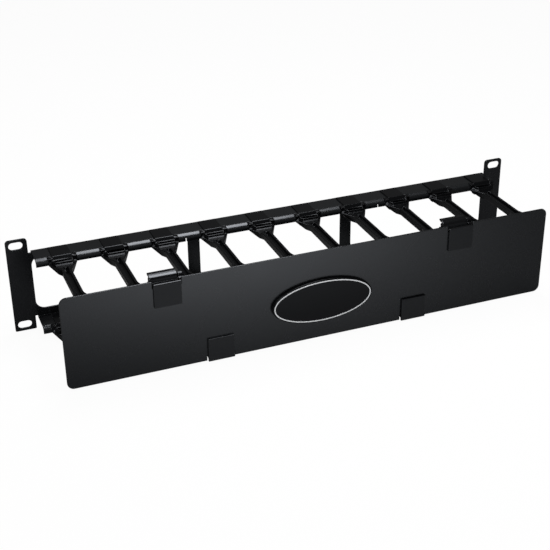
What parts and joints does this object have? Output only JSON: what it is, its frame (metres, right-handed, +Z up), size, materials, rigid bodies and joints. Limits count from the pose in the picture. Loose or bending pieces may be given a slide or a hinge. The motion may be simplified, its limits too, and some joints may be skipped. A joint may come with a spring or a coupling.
{
  "type": "horizontal cable manager",
  "caption": "Two-unit rack cable manager: folded steel frame with rows of moulded cable fingers and a flat hinged front cover.",
  "frame": {"origin": "midway between the four mounting slots, on the back face of the ears", "axes": "+X right along the rack's width, -Y out of the rack's front, +Z up"},
  "size_m": [0.4826, 0.1171, 0.0882],
  "materials": {
    "sheet_steel": "satin black powder coat",
    "moulded_plastic": "moulded black nylon, satin",
    "badge_plastic": "moulded black, semi-gloss"
  },
  "bodies": {
    "frame": {"rack_frame": "sheet_steel", "upper_finger_01": "moulded_plastic", "upper_finger_02": "moulded_plastic", "upper_finger_03": "moulded_plastic", "upper_finger_04": "moulded_plastic", "upper_finger_05": "moulded_plastic", "upper_finger_06": "moulded_plastic", "upper_finger_07": "moulded_plastic", "upper_finger_08": "moulded_plastic", "upper_finger_09": "moulded_plastic", "upper_finger_10": "moulded_plastic", "lower_finger_01": "moulded_plastic", "lower_finger_02": "moulded_plastic", "lower_finger_03": "moulded_plastic", "lower_finger_04": "moulded_plastic", "lower_finger_05": "moulded_plastic", "lower_finger_06": "moulded_plastic", "lower_finger_07": "moulded_plastic", "lower_finger_08": "moulded_plastic", "lower_finger_09": "moulded_plastic", "lower_finger_10": "moulded_plastic"},
    "cover": {"cover_plate": "sheet_steel", "upper_clip_left": "moulded_plastic", "upper_clip_right": "moulded_plastic", "lower_clip_left": "moulded_plastic", "lower_clip_right": "moulded_plastic", "badge": "badge_plastic"}
  },
  "joints": [
    {"name": "cover_hinge", "type": "hinge", "parent": "frame", "child": "cover", "pos_m": [0, -0.1006, 0.0363], "axis": [-1, 0, 0], "range_deg": [0, 105]}
  ]
}
